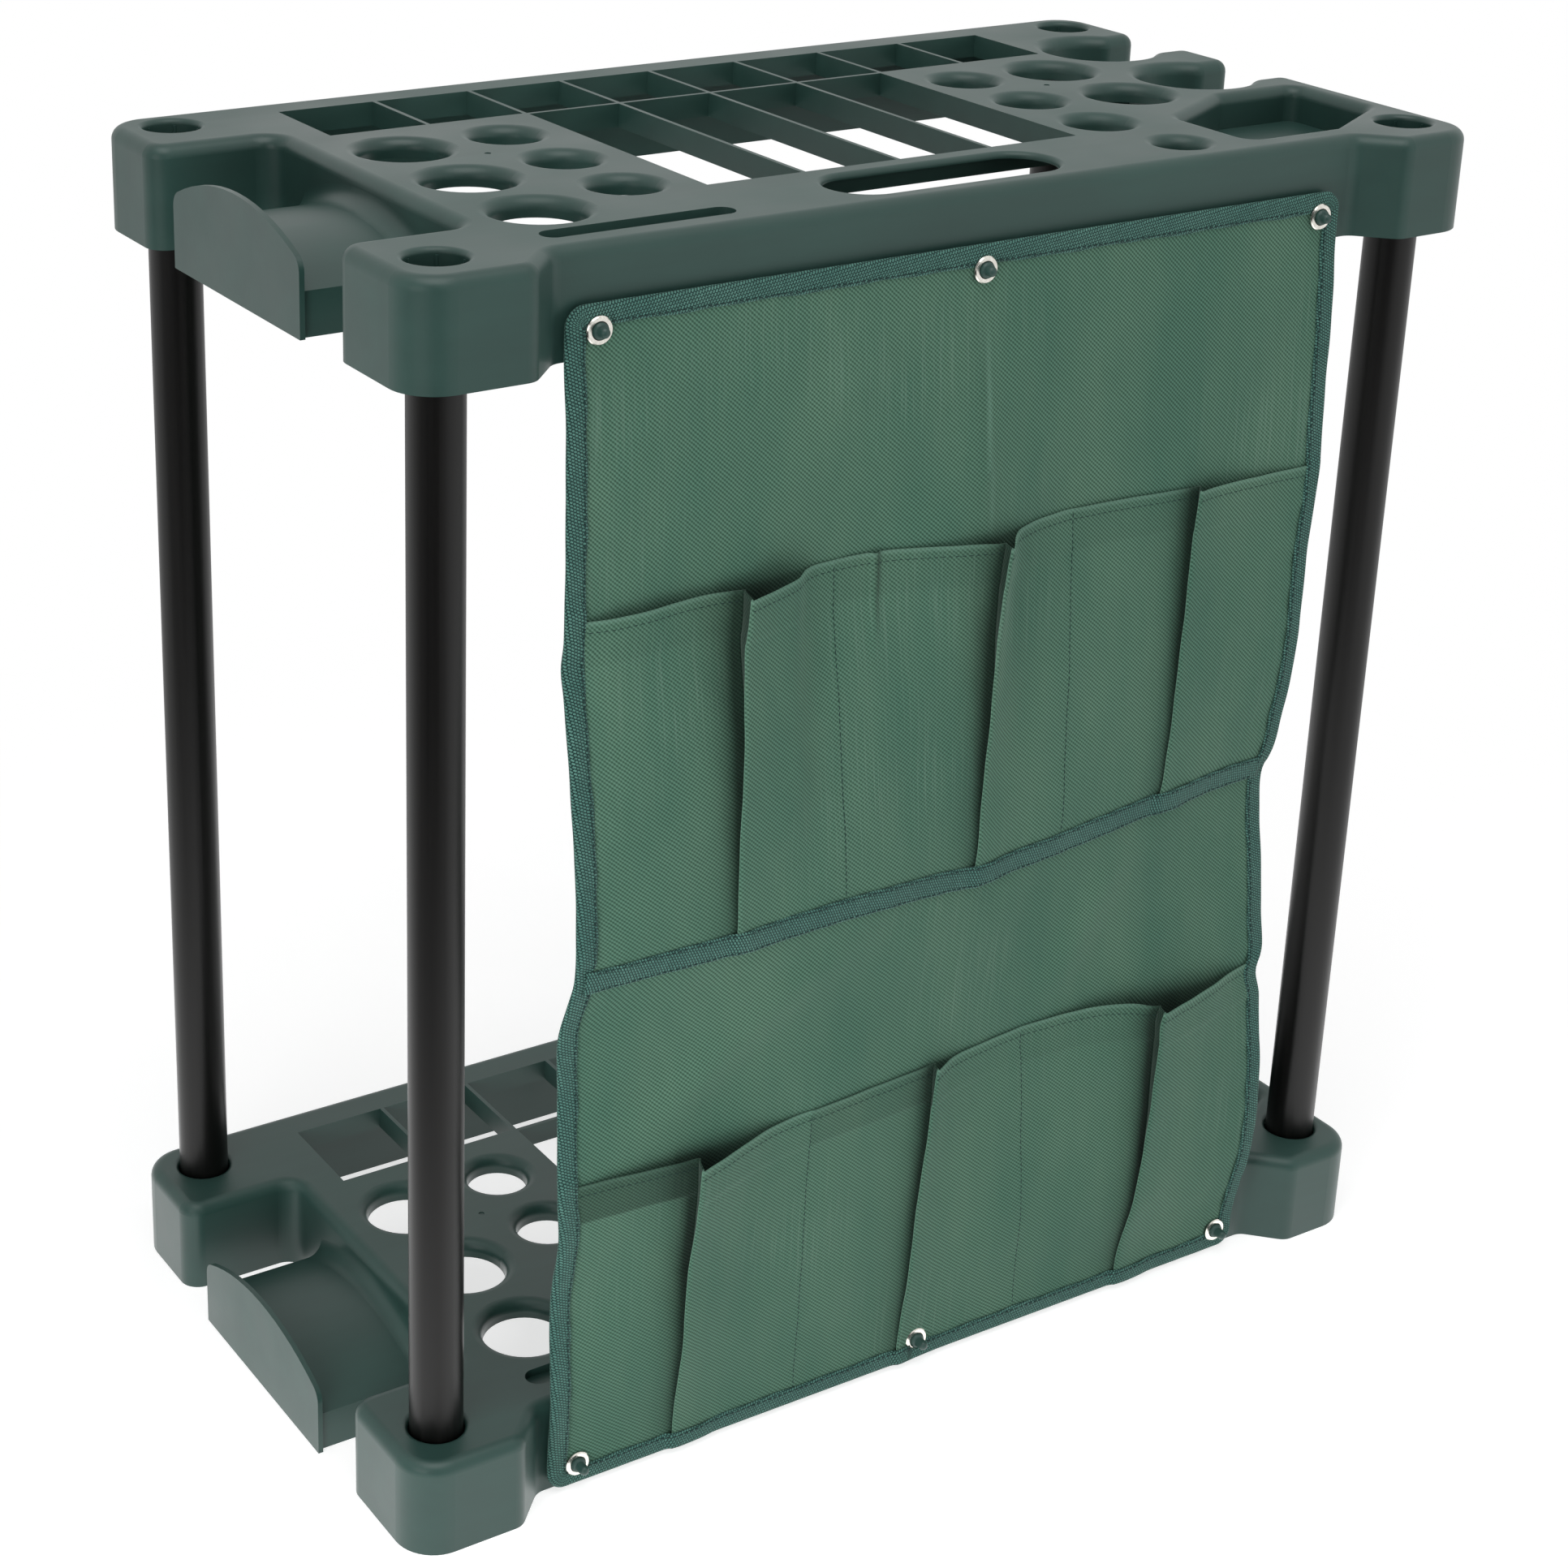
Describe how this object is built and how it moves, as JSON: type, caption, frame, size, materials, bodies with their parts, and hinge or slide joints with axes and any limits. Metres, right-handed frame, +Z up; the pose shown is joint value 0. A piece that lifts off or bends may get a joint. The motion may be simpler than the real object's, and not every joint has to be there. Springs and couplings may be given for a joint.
{
  "type": "freestanding garden tool rack",
  "caption": "Garden tool rack: two green plastic racks on black steel tubes, holes and clips for long handles, and a hanging cloth panel with pockets",
  "frame": {"origin": "On the floor, under the middle of the rack's outer box.", "axes": "+X runs along the rack, from the hose saddle at the left end to the handle clips at the right end. -Y is the front with the pocket panel. +Z is up."},
  "size_m": [0.576, 0.3096, 0.6],
  "materials": {
    "rack_plastic": "satin",
    "tube_paint": "satin",
    "panel_cloth": "matte",
    "binding_tape": "matte",
    "eyelet_nickel": "polished"
  },
  "bodies": {
    "root": {"top_rack": "rack_plastic", "bottom_rack": "rack_plastic", "front_left_tube": "tube_paint", "front_right_tube": "tube_paint", "back_left_tube": "tube_paint", "back_right_tube": "tube_paint"},
    "pocket_panel": {"backing_cloth": "panel_cloth", "upper_pockets": "panel_cloth", "lower_pockets": "panel_cloth", "top_binding": "binding_tape", "bottom_binding": "binding_tape", "left_binding": "binding_tape", "right_binding": "binding_tape", "middle_binding": "binding_tape", "top_left_eyelet": "eyelet_nickel", "top_middle_eyelet": "eyelet_nickel", "top_right_eyelet": "eyelet_nickel", "bottom_left_eyelet": "eyelet_nickel", "bottom_middle_eyelet": "eyelet_nickel", "bottom_right_eyelet": "eyelet_nickel", "top_left_eyelet_washer": "eyelet_nickel", "top_middle_eyelet_washer": "eyelet_nickel", "top_right_eyelet_washer": "eyelet_nickel", "bottom_left_eyelet_washer": "eyelet_nickel", "bottom_middle_eyelet_washer": "eyelet_nickel", "bottom_right_eyelet_washer": "eyelet_nickel"}
  },
  "joints": [
    {"name": "panel_unhook", "type": "slide", "parent": "root", "child": "pocket_panel", "axis": [0, -1, 0], "range_m": [0, 0.03]}
  ]
}
